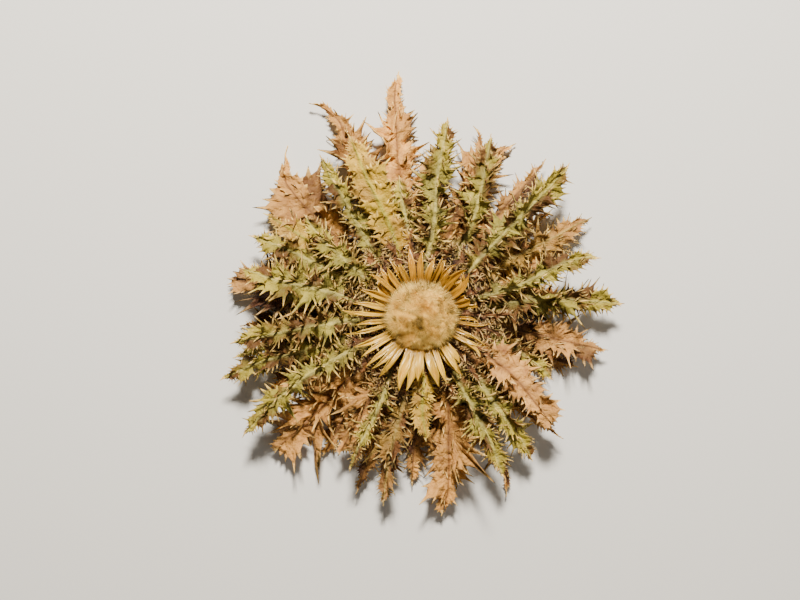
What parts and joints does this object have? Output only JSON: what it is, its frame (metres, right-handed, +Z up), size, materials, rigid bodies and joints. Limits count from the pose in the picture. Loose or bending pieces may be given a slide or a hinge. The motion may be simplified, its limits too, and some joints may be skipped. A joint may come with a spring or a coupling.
{
  "type": "dried thistle flower head",
  "caption": "Dried stemless thistle head lying face up: a domed beige disc ringed by straw-gold ray bracts, in a flat rosette of spiny olive and tan leaves.",
  "frame": {"origin": "middle of the crown's flat cut underside, on the surface that the head rests on", "axes": "+Z up out of the flower's face, +Y towards the longest leaf's side, +X to the right of it seen from above"},
  "size_m": [0.2591, 0.2894, 0.045],
  "materials": {
    "crown": "rough, fibrous, dark brown dried stem",
    "floret_disc": "matt beige down over dry florets",
    "ray_bract": "glossy straw, pale gold to ochre",
    "spiny_bract": "matt brown with pale spines",
    "green_leaf": "matt dried olive green with a pale midrib and cream spines",
    "yellow_leaf": "matt dried yellow green with cream spines",
    "fading_leaf": "matt, olive at the base and tan towards the tip",
    "tan_leaf": "matt dried tan with darker veins and cream spines",
    "rosy_leaf": "matt dried pinkish brown with cream spines"
  },
  "bodies": {
    "root": {"crown": "crown", "floret_disc": "floret_disc", "ray_bracts_upper": "ray_bract", "ray_bracts_lower": "ray_bract", "spiny_bracts_upper": "spiny_bract", "spiny_bracts_lower": "spiny_bract", "fading_leaf_01": "fading_leaf", "fading_leaf_02": "fading_leaf", "green_leaf_01": "green_leaf", "green_leaf_02": "green_leaf", "green_leaf_03": "green_leaf", "green_leaf_04": "green_leaf", "green_leaf_05": "green_leaf", "green_leaf_06": "green_leaf", "green_leaf_07": "green_leaf", "green_leaf_08": "green_leaf", "green_leaf_09": "green_leaf", "green_leaf_10": "green_leaf", "green_leaf_11": "green_leaf", "green_leaf_12": "green_leaf", "green_leaf_13": "green_leaf", "green_leaf_14": "green_leaf", "green_leaf_15": "green_leaf", "green_leaf_16": "green_leaf", "green_leaf_17": "green_leaf", "green_leaf_18": "green_leaf", "rosy_leaf_01": "rosy_leaf", "rosy_leaf_02": "rosy_leaf", "rosy_leaf_03": "rosy_leaf", "rosy_leaf_04": "rosy_leaf", "tan_leaf_01": "tan_leaf", "tan_leaf_02": "tan_leaf", "tan_leaf_03": "tan_leaf", "tan_leaf_04": "tan_leaf", "tan_leaf_05": "tan_leaf", "tan_leaf_06": "tan_leaf", "tan_leaf_07": "tan_leaf", "tan_leaf_08": "tan_leaf", "tan_leaf_09": "tan_leaf", "tan_leaf_10": "tan_leaf", "tan_leaf_11": "tan_leaf", "tan_leaf_12": "tan_leaf", "tan_leaf_13": "tan_leaf", "tan_leaf_14": "tan_leaf", "tan_leaf_15": "tan_leaf", "tan_leaf_16": "tan_leaf", "tan_leaf_17": "tan_leaf", "tan_leaf_18": "tan_leaf", "tan_leaf_19": "tan_leaf", "tan_leaf_20": "tan_leaf", "tan_leaf_21": "tan_leaf", "tan_leaf_22": "tan_leaf", "yellow_leaf_01": "yellow_leaf", "yellow_leaf_02": "yellow_leaf", "yellow_leaf_03": "yellow_leaf"}
  },
  "joints": []
}
